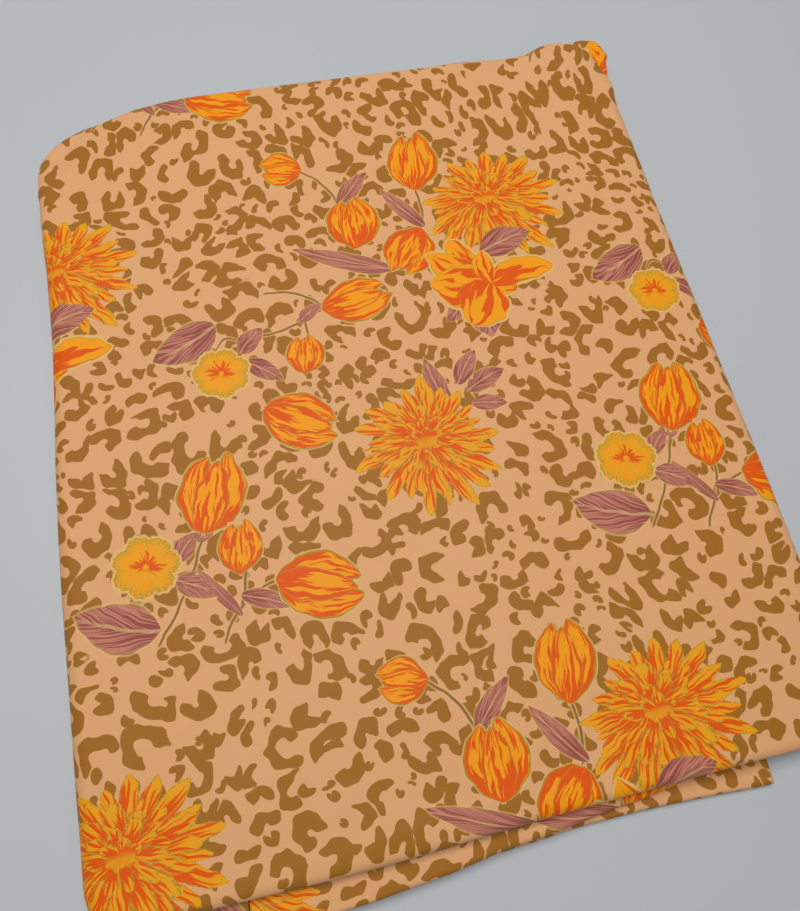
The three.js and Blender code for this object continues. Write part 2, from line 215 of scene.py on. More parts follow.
# The camera, worked out from the print's repeat in the photo
CAMERA_AT = (-76.13, -189.55, 476.73)
CAMERA_RIGHT = (0.97361, -0.22022, 0.0599)
CAMERA_UP = (0.18961, 0.9266, 0.32474)
CAMERA_BACK = (-0.12702, -0.30481, 0.94391)
FOCAL_PIXELS = 720
IMAGE_HEIGHT = 911
SENSOR = 36


def lerp(a, b, t):
    return a + (b - a) * t


def smoothstep(x, low, high):
    t = min(1.0, max(0.0, (x - low) / (high - low)))
    return t * t * (3 - 2 * t)


def bell(x):
    return math.exp(-x * x)


# Height of the creases at a place on the top.
def crease_height(x, y):
    height = 0.0
    for c in CREASES:
        dx = x - c["x"]
        dy = y - c["y"]
        if abs(dx) > 2 * c["long"] + 3 * c["wide"] or abs(dy) > 2 * c["long"] + 3 * c["wide"]:
            continue
        turn = math.radians(c["turn"])
        along = (dx * math.cos(turn) + dy * math.sin(turn)) / c["long"]
        bend = CREASE_BEND["by"] * math.sin(CREASE_BEND["turns"] * along + c["x"])
        across = (dy * math.cos(turn) - dx * math.sin(turn) + bend) / c["wide"]
        height += c["height"] * bell(across) * math.exp(-(along**4))
    return height


def top_height(x, y):
    side = SIDE_FALL * (x / RIGHT) ** 4
    end = END_FALL * (y / FAR) ** 4
    height = CROWN - side - end
    for s in SWELLS:
        height += s["height"] * bell((x - s["x"]) / s["wide"]) * bell((y - s["y"]) / s["deep"])
    return height


def skewed(x, y):
    left = LEFT_FLARE * (y / FAR) * x / LEFT if x < 0 else 0
    pull = FAR_PULL["out"] * smoothstep(x, FAR_PULL["from"], FAR_PULL["to"])
    pull *= smoothstep(y, FAR / 2, FAR)
    bow = BOW["out"] * bell((x - BOW["x"]) / BOW["wide"]) * smoothstep(-y, BOW["from"], BOW["to"])
    dent = LEFT_DENT["in"] * bell((y - LEFT_DENT["y"]) / LEFT_DENT["long"])
    dent *= smoothstep(-x, LEFT_DENT["from"], LEFT_DENT["to"])
    drop = FAR_DROP["in"] * smoothstep(-x, FAR_DROP["from"], FAR_DROP["to"])
    drop *= smoothstep(y, FAR / 2, FAR)
    return x + left + dent, y + pull - bow - drop


def tuck_share(x, y):
    return 1 - smoothstep(math.hypot(RIGHT - x, FAR - y), *TUCK_ROUND)


def folded_share(along, x, y):
    near = smoothstep(-along[1], *TURNED)
    far = smoothstep(along[1], *TURNED) * smoothstep(x, *FAR_TURNED)
    return max(near, far, tuck_share(x, y))


class Margin:
    """A place in the top's margin: its inner corner, its way outwards, and how the edge is made."""

    def __init__(self, column, row):
        u = (column[0] + 1) / 2
        v = (row[0] + 1) / 2
        near = lerp(CORNER["near_left"], CORNER["near_right"], u)
        far = lerp(CORNER["far_left"], CORNER["far_right"], u)
        self.radius = lerp(near, far, v)
        left = LEFT + SIDE_REACH + self.radius
        right = RIGHT - SIDE_REACH - self.radius
        front = CREASE + NEAR_REACH + self.radius
        back = FAR - FAR_REACH - self.radius
        self.base = (lerp(left, right, u), lerp(front, back, v))
        way = Vector((column[0] * column[1], row[0] * row[1]))
        self.along = way.normalized() if way.length > 0 else Vector((0, 0))
        self.out = max(column[1], row[1])
        x = self.base[0] + self.along[0] * self.radius
        y = self.base[1] + self.along[1] * self.radius
        self.share = folded_share(self.along, x, y)
        self.back = min(1.0, BACK_EARLY * self.share)
        self.set_back = self.radius - BACK_SETTING * self.back

    def placed(self, distance):
        return skewed(self.base[0] + self.along[0] * distance, self.base[1] + self.along[1] * distance)


class Roll:
    """The roll at an edge of the pack, from its shoulder over the side and under."""

    def __init__(self, margin):
        self.margin = margin
        x, y = margin.placed(margin.radius)
        self.top = top_height(x, y)
        near_side = margin.along[1] < 0
        self.reach = lerp(SIDE_REACH, NEAR_REACH if near_side else FAR_REACH, margin.along[1] ** 2)
        far_hem = lerp(FAR_HEM, TUCK_HEM, tuck_share(x, y))
        self.low = margin.share * (NEAR_HEM if near_side else far_hem)
        self.half = (self.top - self.low) / 2

    def at(self, degrees, swell=0.0):
        turn = math.radians(degrees)
        reach = (self.reach + swell) * math.sin(turn)
        x, y = self.margin.placed(self.margin.radius + reach)
        return x, y, self.top - self.half * (1 - math.cos(turn)) + swell * math.cos(turn)


def divisions(cells):
    lines = [(-1, i / MARGIN_CELLS) for i in range(MARGIN_CELLS, 0, -1)]
    lines += [(-1 + 2 * i / cells, 0) for i in range(cells + 1)]
    return lines + [(1, i / MARGIN_CELLS) for i in range(1, MARGIN_CELLS + 1)]


class Sheet:
    """Points of a cloth with their places on the flat cloth, and the faces between them."""

    def __init__(self):
        self.points = []
        self.flat = []
        self.faces = []
        self.slips = False

    def add(self, point, flat):
        self.points.append(point)
        self.flat.append(flat)
        return len(self.points) - 1

    def grid(self, rows):
        for below, above in zip(rows, rows[1:]):
            for i in range(len(below) - 1):
                self.faces.append((below[i], below[i + 1], above[i + 1], above[i]))

    def ring(self, inside, outside):
        for k in range(len(inside)):
            n = (k + 1) % len(inside)
            self.faces.append((inside[k], outside[k], outside[n], inside[n]))


# Print coordinates of a place on the flat cloth.
def print_place(x, y):
    dx = x - PRINT_AT[0]
    dy = y - PRINT_AT[1]
    cos = math.cos(PRINT_TURN)
    sin = math.sin(PRINT_TURN)
    return dx * cos + dy * sin, dy * cos - dx * sin


# Towards the far edge the cloth has slipped outwards, more at its corners.
def slipped(x, y):
    corner = smoothstep(abs(x - FAR_SLIP["x"]), FAR_SLIP["near"], FAR_SLIP["off"])
    slip = lerp(FAR_SLIP["least"], FAR_SLIP["most"], corner)
    return x, y - slip * smoothstep(y, FAR_SLIP["from"], FAR_SLIP["to"])


def make_piece(name, sheet, nodes, material):
    mesh = bpy.data.meshes.new(name)
    points = [((x - MIDDLE[0]) * MM, (y - MIDDLE[1]) * MM, z * MM) for x, y, z in sheet.points]
    mesh.from_pydata(points, [], sheet.faces)
    places = np.array([print_place(*(slipped(*f) if sheet.slips else f)) for f in sheet.flat])
    corners = places[[loop.vertex_index for loop in mesh.loops]]
    mesh.uv_layers.new(name="cloth").data.foreach_set("uv", (corners * MM).ravel())
    for kind, rows in MOTIFS.items():
        add_motifs(mesh, kind, rows, corners)
    mesh.polygons.foreach_set("use_smooth", [True] * len(mesh.polygons))
    mesh.materials.append(material)
    piece = bpy.data.objects.new(name, mesh)
    bpy.context.collection.objects.link(piece)
    shell = piece.modifiers.new("shell", "SOLIDIFY")
    shell.thickness = SHELL * MM
    shell.offset = -1
    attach(piece, "root")
    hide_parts(*nodes)
    return piece


def around(columns, rows):
    places = [(columns[i], rows[0]) for i in range(len(columns) - 1)]
    places += [(columns[-1], rows[j]) for j in range(len(rows) - 1)]
    places += [(columns[i], rows[-1]) for i in range(len(columns) - 1, 0, -1)]
    places += [(columns[0], rows[j]) for j in range(len(rows) - 1, 0, -1)]
    return places


def grid_edge(rows):
    edge = list(rows[0][:-1])
    edge += [row[-1] for row in rows[:-1]]
    edge += list(reversed(rows[-1][1:]))
    return edge + [row[0] for row in reversed(rows[1:])]


# Small unevenness of the cloth, broad and fine. "gone" is how far the cloth has gone over the edge.
def ripple(x, y, gone):
    broad = Vector((x * 0.011, y * 0.011, 3.7))
    fine = Vector((x * 0.035, y * 0.035, 9.1 + gone * 0.02))
    return RIPPLE * (noise.noise(broad) + 0.45 * noise.noise(fine))


# The pulled cloth leaves the tucked layer showing at the far right corner.
def pulled(point):
    x, y, z = point
    pull = CORNER_PULL["in"] * bell((y - CORNER_PULL["y"]) / CORNER_PULL["long"])
    pull *= smoothstep(x, CORNER_PULL["from"], CORNER_PULL["to"])
    return x - pull, y, z


def top_sheet():
    sheet = Sheet()
    sheet.slips = True
    columns = divisions(CELLS_ACROSS)
    lines = divisions(CELLS_ALONG)
    rows = []
    for row in lines:
        line = []
        for column in columns:
            margin = Margin(column, row)
            x, y = margin.placed(margin.out * margin.radius)
            z = top_height(x, y) + crease_height(x, y) + ripple(x, y, 0)
            line.append(sheet.add(pulled((x, y, z)), (x, y)))
        rows.append(line)
    sheet.grid(rows)
    loop = grid_edge(rows)
    rolls = [Roll(Margin(column, row)) for column, row in around(columns, lines)]
    for k in range(1, ROLL_LOOPS + 1):
        ring = []
        for roll in rolls:
            margin = roll.margin
            most = lerp(WRAP_TURN, FOLD_TURN, margin.share)
            arc = math.radians(most) * (roll.half + roll.reach) / 2
            gone = (arc + HEM_BACK * margin.share) * k / ROLL_LOOPS
            shoulder = margin.placed(margin.radius)
            flat = (shoulder[0] + margin.along[0] * gone, shoulder[1] + margin.along[1] * gone)
            if gone <= arc:
                degrees = most * gone / arc
                fade = math.cos(math.radians(degrees / 2)) ** 2
                swell = crease_height(*shoulder) * fade + ripple(flat[0], flat[1], gone)
                point = roll.at(degrees, swell)
            else:
                x, y = margin.placed(margin.radius - (gone - arc))
                point = (x, y, roll.low)
            ring.append(sheet.add(pulled(point), flat))
        sheet.ring(loop, ring)
        loop = ring
    return sheet


def under_sheet():
    sheet = Sheet()
    columns = divisions(UNDER_CELLS[0])
    lines = divisions(UNDER_CELLS[1])
    rows = []
    for row in lines:
        line = []
        for column in columns:
            margin = Margin(column, row)
            x, y = margin.placed(margin.out * margin.set_back)
            line.append(sheet.add((x, y, 0), (2 * LEFT - x, y)))
        rows.append(line)
    sheet.grid(rows)
    ring = []
    for column, row in around(columns, lines):
        margin = Margin(column, row)
        roll = Roll(margin)
        roll.half = roll.top / 2
        curled = roll.at(UNDER_TURN)
        x, y = margin.placed(margin.set_back + WALL)
        point = tuple(lerp(a, b, 1 - margin.back) for a, b in zip((x, y, 0), curled))
        ring.append(sheet.add(point, (2 * LEFT - point[0], point[1])))
    sheet.ring(grid_edge(rows), ring)
    sheet.faces = [tuple(reversed(face)) for face in sheet.faces if looks_up(sheet, face)]
    return sheet


def looks_up(sheet, face):
    a, b, c, d = (Vector(sheet.points[i]) for i in face)
    return (c - a).cross(d - b).z > 0


# A row of stations at even steps between the given ones, smoothly joined.
def between(rows, names, step):
    spots = []
    for a, b in zip(rows, rows[1:]):
        length = math.hypot(b["x"] - a["x"], b.get("y", 0) - a.get("y", 0))
        count = max(2, round(length / step))
        before = rows[max(0, rows.index(a) - 1)]
        after = rows[min(len(rows) - 1, rows.index(b) + 1)]
        for i in range(count):
            t = i / count
            spots.append({n: curve(before[n], a[n], b[n], after[n], t) for n in names})
    spots.append({n: rows[-1][n] for n in names})
    return spots


def curve(p0, p1, p2, p3, t):
    a = 2 * p1
    b = p2 - p0
    c = 2 * p0 - 5 * p1 + 4 * p2 - p3
    d = 3 * p1 - p0 - 3 * p2 + p3
    return 0.5 * (a + b * t + c * t * t + d * t**3)


# A doubled edge: out along the bottom, round the nose and back on top.
def fold_sheet(stations, print_shift, wave):
    sheet = Sheet()
    rows = []
    gone = 0.0
    before = None
    for s in stations:
        if before is not None:
            gone += math.hypot(s["x"] - before["x"], s["y"] - before["y"])
        before = s
        bend = (s["high"] - s["low"]) / 2
        middle = (s["high"] + s["low"]) / 2
        section = [(lerp(s["depth"], bend, k / FLAT_STEPS), s["low"]) for k in range(FLAT_STEPS)]
        for k in range(NOSE_STEPS + 1):
            turn = math.pi * k / NOSE_STEPS
            section.append((bend - bend * math.sin(turn), middle - bend * math.cos(turn)))
        section += [(lerp(bend, s["depth"], k / FLAT_STEPS), s["high"]) for k in range(1, FLAT_STEPS + 1)]
        line = []
        run = 0.0
        last = section[0]
        for depth, z in section:
            run += math.hypot(depth - last[0], z - last[1])
            last = (depth, z)
            shift = wave * noise.noise(Vector((gone * 0.028, z * 0.09, s["low"])))
            x, y = skewed(s["x"] + s["way"][0] * (depth + shift), s["y"] + s["way"][1] * (depth + shift))
            line.append(sheet.add((x, y, z), (gone + print_shift[0], run + print_shift[1])))
        rows.append(line)
    sheet.grid(rows)
    near_side = stations[0]["way"][1] > 0
    if near_side:
        sheet.faces = [tuple(reversed(face)) for face in sheet.faces]
    return sheet


def straight_stations(table, back):
    stations = []
    for row in between(table, ("x", "nose", "low", "high"), FOLD_STEP):
        way = 1 if back > row["nose"] else -1
        row["y"] = row["nose"]
        row["way"] = (0, way)
        row["depth"] = abs(back - row["nose"])
        stations.append(row)
    return stations


def tuck_stations():
    stations = []
    for row in between(CORNER_TUCK, ("x", "y", "low", "high", "depth"), TUCK_STEP):
        way = Vector((TUCK_CENTRE[0] - row["x"], TUCK_CENTRE[1] - row["y"])).normalized()
        row["way"] = (way[0], way[1])
        stations.append(row)
    return stations


# The edges of the layers inside: a band round the pack, with a lip at its top and at its bottom.
def hidden_sheet():
    sheet = Sheet()
    places = around(divisions(BAND_CELLS[0]), divisions(BAND_CELLS[1]))
    margins = [Margin(column, row) for column, row in places]
    clear = WALL + SEAM
    gone = [0.0]
    for a, b in zip(margins, margins[1:]):
        gone.append(gone[-1] + math.dist(a.placed(a.radius), b.placed(b.radius)))
    loop = None
    down = 0.0
    for k in range(-2, EDGE_LOOPS + 3):
        share = min(1.0, max(0.0, k / EDGE_LOOPS))
        lip = LIP * max(-k, k - EDGE_LOOPS, 0) / 2
        ring = []
        for margin, along in zip(margins, gone):
            x, y = margin.placed(margin.set_back)
            top = top_height(x, y) - clear
            turn = math.pi * share
            rounded = (Roll(margin).reach - CORE_INSET) * math.sin(turn)
            distance = margin.set_back + lerp(rounded, layer_edge(share, along), margin.back) - lip
            fallen = lerp((1 - math.cos(turn)) / 2, share, margin.back)
            x, y = margin.placed(distance)
            ring.append(sheet.add((x, y, lerp(top, clear, fallen)), (along, down)))
        if loop is not None:
            sheet.ring(loop, ring)
        loop = ring
        down += CROWN / EDGE_LOOPS
    return sheet


# How far the edge of a layer stands out, by its height and by its place round the pack.
def layer_edge(share, along):
    spot = share * EDGES + EDGE_WAVER * noise.noise(Vector((along * 0.02, share * 3, 5.2)))
    layer = math.floor(spot)
    nose = math.sqrt(max(0.0, 1 - (2 * (spot - layer) - 1) ** 2))
    out = EDGE_UNEVEN * noise.noise(Vector((along * 0.012, layer * 7.7, 1.4)))
    return EDGE_DEPTH * nose + out * nose


# Motifs of the print, each from its base to its tip in the repeat, with its width
TULIPS = [
    {"base": (186, 55), "tip": (156, 62), "wide": 27},
    {"base": (212, -20), "tip": (217, 25), "wide": 38},
    {"base": (266, 22), "tip": (277, 71), "wide": 37},
    {"base": (264, -14), "tip": (236, -47), "wide": 37},
    {"base": (178, -66), "tip": (228, -59), "wide": 33},
    {"base": (156, -112), "tip": (161, -82), "wide": 25},
    {"base": (123, -132), "tip": (169, -158), "wide": 38},
    {"base": (71, -207), "tip": (90, -156), "wide": 42},
    {"base": (89, -237), "tip": (95, -203), "wide": 27},
    {"base": (110, -246), "tip": (163, -264), "wide": 40},
]
DAHLIAS = [
    {"base": (260, -1), "tip": (382, -6), "wide": 108},
    {"base": (173, -174), "tip": (281, -188), "wide": 102},
]
# Two round flowers, then the open one
FLOWERS = [
    {"base": (80, -96), "tip": (120, -103), "wide": 38},
    {"base": (12, -215), "tip": (55, -224), "wide": 41},
    {"base": (250, -68), "tip": (350, -68), "wide": 100},
]
OPEN_FLOWER = 2
# The first leaf lies over its flower
LEAVES = [
    {"base": (301, -42), "tip": (343, -31), "wide": 24},
    {"base": (36, -260), "tip": (-12, -240), "wide": 31},
    {"base": (102, -62), "tip": (56, -81), "wide": 28},
    {"base": (246, -160), "tip": (238, -118), "wide": 15},
    {"base": (256, -142), "tip": (275, -119), "wide": 14},
    {"base": (262, -148), "tip": (291, -137), "wide": 15},
    {"base": (262, -158), "tip": (286, -163), "wide": 12},
    {"base": (236, -44), "tip": (166, -12), "wide": 15},
    {"base": (267, -12), "tip": (241, 27), "wide": 13},
    {"base": (207, 18), "tip": (234, 45), "wide": 14},
    {"base": (286, -82), "tip": (290, -112), "wide": 24},
    {"base": (277, -80), "tip": (262, -93), "wide": 14},
    {"base": (52, -221), "tip": (67, -205), "wide": 13},
    {"base": (50, -232), "tip": (74, -247), "wide": 16},
    {"base": (66, -211), "tip": (80, -203), "wide": 9},
    {"base": (87, -250), "tip": (117, -264), "wide": 12},
    {"base": (86, -262), "tip": (64, -228), "wide": 8},
    {"base": (115, -87), "tip": (133, -71), "wide": 15},
    {"base": (117, -94), "tip": (140, -114), "wide": 14},
    {"base": (159, -72), "tip": (178, -60), "wide": 10},
]
# "bow" is how far a stem bends to the left of its way, as a share of "wide"
STEMS = [
    {"base": (184, 55), "tip": (208, 14), "wide": 18, "bow": 0.30},
    {"base": (266, 26), "tip": (262, -16), "wide": 18, "bow": 0.22},
    {"base": (181, -68), "tip": (140, -45), "wide": 18, "bow": -0.40},
    {"base": (160, -72), "tip": (129, -77), "wide": 18, "bow": 0.10},
    {"base": (157, -112), "tip": (163, -70), "wide": 18, "bow": -0.15},
    {"base": (98, -84), "tip": (118, -84), "wide": 18, "bow": 0.55},
    {"base": (72, -203), "tip": (35, -268), "wide": 18, "bow": 0.20},
    {"base": (115, -245), "tip": (73, -276), "wide": 18, "bow": -0.40},
    {"base": (93, -233), "tip": (87, -256), "wide": 18, "bow": 0.05},
]
MOTIFS = {"tulips": TULIPS, "dahlias": DAHLIAS, "flowers": FLOWERS, "leaves": LEAVES, "stems": STEMS}
MOTIF_REACH = 1.25  # how far a motif's own frame is used, in its lengths
MOTIF_STEP = 4
NO_MOTIF = (1.9, 9.0)  # a place outside every motif

# The greatest value of each outline's formula, which brings it to its full width
TULIP_PEAK = 0.443
OPEN_PEAK = 0.47

# Petals of a tulip: how far each bulges and leans, its width and its length, as shares of the flower's
TULIP_PETALS = [
    {"bulge": -0.19, "lean": -0.10, "wide": 0.28, "long": 1.0},
    {"bulge": 0.19, "lean": 0.15, "wide": 0.28, "long": 0.93},
    {"bulge": -0.02, "lean": 0.02, "wide": 0.30, "long": 0.90},
]
# Petals of the open flower: direction in degrees, length and width as shares of the flower's
OPEN_PETALS = [
    {"turn": 112, "long": 0.46, "wide": 0.13},
    {"turn": 136, "long": 0.50, "wide": 0.14},
    {"turn": 166, "long": 0.42, "wide": 0.20},
    {"turn": 338, "long": 0.22, "wide": 0.13},
    {"turn": 2, "long": 0.52, "wide": 0.12},
    {"turn": 82, "long": 0.27, "wide": 0.09},
    {"turn": 232, "long": 0.38, "wide": 0.21},
]
# Rings of petals of a dahlia, from the outside in
DAHLIA_RINGS = [
    {"petals": 21, "radius": 1.0, "start": 0.0, "wide": 0.64},
    {"petals": 17, "radius": 0.82, "start": 0.4, "wide": 0.66},
    {"petals": 13, "radius": 0.62, "start": 0.1, "wide": 0.66},
    {"petals": 10, "radius": 0.42, "start": 0.7, "wide": 0.62},
    {"petals": 6, "radius": 0.22, "start": 0.2, "wide": 0.60},
]

# Leopard spots, in millimetres
ROSETTE_CELL = 21.5
ROSETTE_THICK = 3.5
DOT_CELL = 12.0
DOT_THICK = 4.0
DOT_SHARE = 0.97
SPOT_RANDOM = 0.75
SPOT_GAP = 1.8
SPOT_LEAST = 2.0
SPOT_ROUND = 2.8
SPOT_GROWN = 0.6
FULL_TURN = 2 * math.pi

# The weave and small creases, in millimetres
THREAD = 0.45
THREAD_HEIGHT = 0.012
SOFT_HEIGHT = 0.6

# Colours of the table and the room, as shares of light
TABLE_COLOUR = (0.485, 0.51, 0.53, 1)
ROOM_COLOUR = (0.9, 0.95, 1.0, 1)
ROOM_STRENGTH = 0.22

# Colours of the print, as sRGB
GROUND = (223, 165, 113)
GROUND_PALE = (230, 175, 128)
HALO = (226, 182, 112)
SPOT = (161, 105, 32)
YELLOW = (243, 156, 12)
GOLD = (232, 160, 24)
RED = (226, 86, 0)
OLIVE = (164, 148, 52)
MAUVE = (196, 126, 104)
MAUVE_DEEP = (150, 76, 66)
STEM = (150, 92, 66)
VEIN = (220, 178, 124)


def linear(colour):
    shares = [c / 255 for c in colour]
    return tuple(c / 12.92 if c <= 0.04045 else ((c + 0.055) / 1.055) ** 2.4 for c in shares) + (1,)


class Field:
    """A number, place or colour in the print's shader, so that its sums read as sums."""

    def __init__(self, socket):
        self.socket = socket

    def __add__(self, other):
        return number("ADD", self, other)

    def __radd__(self, other):
        return number("ADD", self, other)

    def __sub__(self, other):
        return number("SUBTRACT", self, other)

    def __rsub__(self, other):
        return number("SUBTRACT", other, self)

    def __mul__(self, other):
        return number("MULTIPLY", self, other)

    def __rmul__(self, other):
        return number("MULTIPLY", self, other)

    def __truediv__(self, other):
        return number("DIVIDE", self, other)

    def __pow__(self, other):
        return number("POWER", self, other)


material = bpy.data.materials.new("printed_silk")
material.use_nodes = True
tree = material.node_tree
shader = tree.nodes["Principled BSDF"]


def put(socket, value):
    if isinstance(value, Field):
        tree.links.new(value.socket, socket)
    else:
        socket.default_value = value


def number(operation, *values):
    node = tree.nodes.new("ShaderNodeMath")
    node.operation = operation
    for socket, value in zip(node.inputs, values):
        put(socket, value)
    return Field(node.outputs[0])


def place_sum(operation, *values):
    node = tree.nodes.new("ShaderNodeVectorMath")
    node.operation = operation
    for socket, value in zip(node.inputs, values):
        put(socket, value)
    return Field(node.outputs["Value" if operation in ("LENGTH", "DOT_PRODUCT") else "Vector"])


def scaled(place, share):
    node = tree.nodes.new("ShaderNodeVectorMath")
    node.operation = "SCALE"
    put(node.inputs[0], place)
    put(node.inputs["Scale"], share)
    return Field(node.outputs["Vector"])


def parts(place):
    node = tree.nodes.new("ShaderNodeSeparateXYZ")
    put(node.inputs[0], place)
    return [Field(output) for output in node.outputs]


def joined(x, y, z=0.0):
    node = tree.nodes.new("ShaderNodeCombineXYZ")
    for socket, value in zip(node.inputs, (x, y, z)):
        put(socket, value)
    return Field(node.outputs[0])


def mixed(share, first, second, kind="FLOAT"):
    node = tree.nodes.new("ShaderNodeMix")
    node.data_type = kind
    a, b, result = {"FLOAT": (2, 3, 0), "RGBA": (6, 7, 2)}[kind]
    put(node.inputs[0], share)
    put(node.inputs[a], first)
    put(node.inputs[b], second)
    return Field(node.outputs[result])


def painted(share, under, over):
    under = under if isinstance(under, Field) else linear(under)
    over = over if isinstance(over, Field) else linear(over)
    return mixed(share, under, over, "RGBA")


# 0 at low and 1 at high, or the other way round where low is the greater.
def soft_step(value, low, high):
    node = tree.nodes.new("ShaderNodeMapRange")
    node.interpolation_type = "SMOOTHSTEP"
    falls = low > high
    put(node.inputs["Value"], value)
    node.inputs["From Min"].default_value = min(low, high)
    node.inputs["From Max"].default_value = max(low, high)
    node.inputs["To Min"].default_value = 1 if falls else 0
    node.inputs["To Max"].default_value = 0 if falls else 1
    return Field(node.outputs["Result"])


def cloudy(place, scale, detail=0.0, colour=False):
    node = tree.nodes.new("ShaderNodeTexNoise")
    node.noise_dimensions = "2D"
    put(node.inputs["Vector"], place)
    node.inputs["Scale"].default_value = scale
    node.inputs["Detail"].default_value = detail
    return Field(node.outputs["Color" if colour else "Fac"])


def chance(value):
    node = tree.nodes.new("ShaderNodeTexWhiteNoise")
    node.noise_dimensions = "1D"
    put(node.inputs["W"], value)
    return Field(node.outputs["Value"])


def cell_pattern(place, size, feature="F1"):
    node = tree.nodes.new("ShaderNodeTexVoronoi")
    node.voronoi_dimensions = "2D"
    node.feature = feature
    put(node.inputs["Vector"], place)
    node.inputs["Scale"].default_value = 1 / size
    node.inputs["Randomness"].default_value = SPOT_RANDOM
    return node


def layer_place(name):
    node = tree.nodes.new("ShaderNodeUVMap")
    node.uv_map = name
    return Field(node.outputs[0])


# Where we are in the nearest motif, with its row in the table.
def motif(name, warp):
    x, y, _ = parts(layer_place(name))
    row = number("FLOOR", (x + MOTIF_STEP / 2) / MOTIF_STEP)
    warp_x, warp_y, _ = parts(warp)
    x = x - row * MOTIF_STEP + warp_x
    return x, y + warp_y, row


def tulips(warp, under):
    x, y, row = motif("tulips", warp)
    t = x + 0.5
    foot = number("MAXIMUM", t, 0.0) ** 0.5
    rest = 1 - t
    inside = depth = across = outline = None
    for k, petal in enumerate(TULIP_PETALS):
        left = rest + (petal["long"] - 1)
        half = (number("MAXIMUM", left, 0.0) ** 0.7) * foot * (petal["wide"] / TULIP_PEAK)
        half = half + number("MINIMUM", left, 0.0)
        away = y - number("MULTIPLY_ADD", rest, 4 * petal["bulge"], petal["lean"]) * t
        edge = half - number("ABSOLUTE", away)
        here = number("GREATER_THAN", edge, 0.0)
        share = away / (half + 0.04) + 3.7 * k
        if inside is None:
            inside, depth, across, outline = here, edge, share, edge
        else:
            inside = number("MAXIMUM", inside, here)
            depth = mixed(here, depth, edge)
            across = mixed(here, across, share)
            outline = number("MAXIMUM", outline, edge)
    streaks = cloudy(joined(across * 4.4 + row * 9.3, t * 2.4), 1.0, 2.0)
    foot_red = soft_step(t, 0.55, 0.0)
    rim_red = soft_step(depth, 0.13, 0.02)
    red = soft_step(streaks + foot_red * 0.17 + rim_red * 0.15, 0.55, 0.61)
    colour = painted(red, YELLOW, RED)
    colour = painted(soft_step(depth, 0.028, 0.008) * 0.55, colour, OLIVE)
    outline = outline - number("MAXIMUM", number("ABSOLUTE", x) - 0.5, 0.0)
    under = painted(soft_step(outline, -0.04, -0.028), under, HALO)
    rim = soft_step(outline, -0.022, -0.012)
    return painted(number("MAXIMUM", inside, rim), under, painted(inside, OLIVE, colour))


def dahlias(warp, under):
    x, y, row = motif("dahlias", warp)
    far_out = place_sum("LENGTH", joined(x, y)) * 2
    lean = number("MAXIMUM", 1 - far_out, 0.0)
    x = x + lean * 0.03
    y = y - lean * (0.10 - row * 0.05)
    radius = place_sum("LENGTH", joined(x, y)) * 2
    turns = number("ARCTAN2", y, x) * (1 / FULL_TURN) + row * 0.31 - radius * 0.02
    inside = depth = across = run = luck = None
    for k, ring in enumerate(DAHLIA_RINGS):
        spot = number("MULTIPLY_ADD", turns, ring["petals"], ring["start"] + 40)
        index = number("FLOOR", spot)
        lucky = chance(index + 50.5 * (k + 1))
        along = radius / number("MULTIPLY_ADD", lucky, 0.34 * ring["radius"], 0.70 * ring["radius"])
        off = spot - index - 0.5
        narrowing = number("MAXIMUM", 1 - along**3.4, 0.0) ** 0.8
        edge = narrowing * ring["wide"] - number("ABSOLUTE", off)
        here = number("GREATER_THAN", edge, 0.0)
        if inside is None:
            inside, depth, across, run, luck = here, edge, off, along, lucky
        else:
            inside = number("MAXIMUM", inside, here)
            depth = mixed(here, depth, edge)
            across = mixed(here, across, off)
            run = mixed(here, run, along)
            luck = mixed(here, luck, lucky)
    streaks = cloudy(joined(across * 5.2 + luck * 60, run * 1.1), 1.0, 1.5)
    inner = number("MAXIMUM", 0.98 - run, 0.0) ** 0.7
    red = soft_step(streaks + inner * 0.5 - luck * 0.05, 0.60, 0.67)
    colour = painted(red, painted(luck, YELLOW, GOLD), RED)
    speckle = soft_step(cloudy(joined(x, y), 70.0), 0.42, 0.56)
    line = soft_step(depth * (radius + 0.2), 0.10, 0.03) * soft_step(run, 0.30, 0.75)
    colour = painted(line * speckle * 0.9, colour, OLIVE)
    button = soft_step(radius, 0.15, 0.11)
    colour = painted(button * soft_step(y, 0.03, -0.02) * 0.75, colour, GOLD)
    return painted(inside, under, colour)


